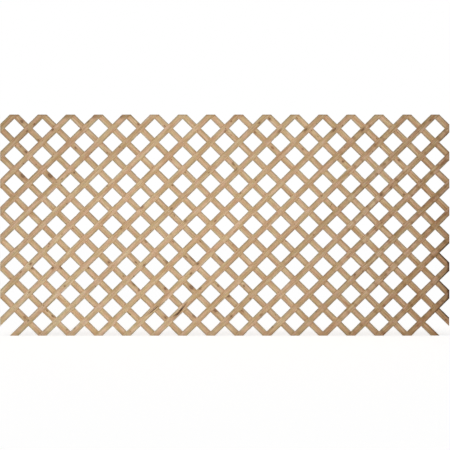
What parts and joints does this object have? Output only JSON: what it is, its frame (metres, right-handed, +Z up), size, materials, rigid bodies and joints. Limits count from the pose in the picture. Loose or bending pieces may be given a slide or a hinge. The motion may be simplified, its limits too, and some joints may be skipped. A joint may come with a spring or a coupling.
{
  "type": "plant trellis panel",
  "caption": "Flat wooden lattice panel of crossed diagonal laths, stapled where they cross, for climbing plants and garden screens.",
  "frame": {"origin": "middle of the panel's lower edge, on the plane where the two layers of laths meet", "axes": "+X along the panel's width, to the right seen from the front; +Y out of the back; +Z up the panel's height"},
  "size_m": [2.438, 0.0134, 1.2],
  "materials": {
    "front_lath_wood": "rough-sawn untreated softwood lath with knots",
    "back_lath_wood": "rough-sawn untreated softwood lath with knots",
    "staple_steel": "galvanised flat wire"
  },
  "bodies": {
    "root": {"front_lath_01": "front_lath_wood", "front_lath_02": "front_lath_wood", "front_lath_03": "front_lath_wood", "front_lath_04": "front_lath_wood", "front_lath_05": "front_lath_wood", "front_lath_06": "front_lath_wood", "front_lath_07": "front_lath_wood", "front_lath_08": "front_lath_wood", "front_lath_09": "front_lath_wood", "front_lath_10": "front_lath_wood", "front_lath_11": "front_lath_wood", "front_lath_12": "front_lath_wood", "front_lath_13": "front_lath_wood", "front_lath_14": "front_lath_wood", "front_lath_15": "front_lath_wood", "front_lath_16": "front_lath_wood", "front_lath_17": "front_lath_wood", "front_lath_18": "front_lath_wood", "front_lath_19": "front_lath_wood", "front_lath_20": "front_lath_wood", "front_lath_21": "front_lath_wood", "front_lath_22": "front_lath_wood", "front_lath_23": "front_lath_wood", "back_lath_01": "back_lath_wood", "back_lath_02": "back_lath_wood", "back_lath_03": "back_lath_wood", "back_lath_04": "back_lath_wood", "back_lath_05": "back_lath_wood", "back_lath_06": "back_lath_wood", "back_lath_07": "back_lath_wood", "back_lath_08": "back_lath_wood", "back_lath_09": "back_lath_wood", "back_lath_10": "back_lath_wood", "back_lath_11": "back_lath_wood", "back_lath_12": "back_lath_wood", "back_lath_13": "back_lath_wood", "back_lath_14": "back_lath_wood", "back_lath_15": "back_lath_wood", "back_lath_16": "back_lath_wood", "back_lath_17": "back_lath_wood", "back_lath_18": "back_lath_wood", "back_lath_19": "back_lath_wood", "back_lath_20": "back_lath_wood", "back_lath_21": "back_lath_wood", "back_lath_22": "back_lath_wood", "back_lath_23": "back_lath_wood", "crossing_staples": "staple_steel", "top_edge_staples": "staple_steel", "bottom_edge_staples": "staple_steel", "left_edge_staples": "staple_steel", "right_edge_staples": "staple_steel"}
  },
  "joints": []
}
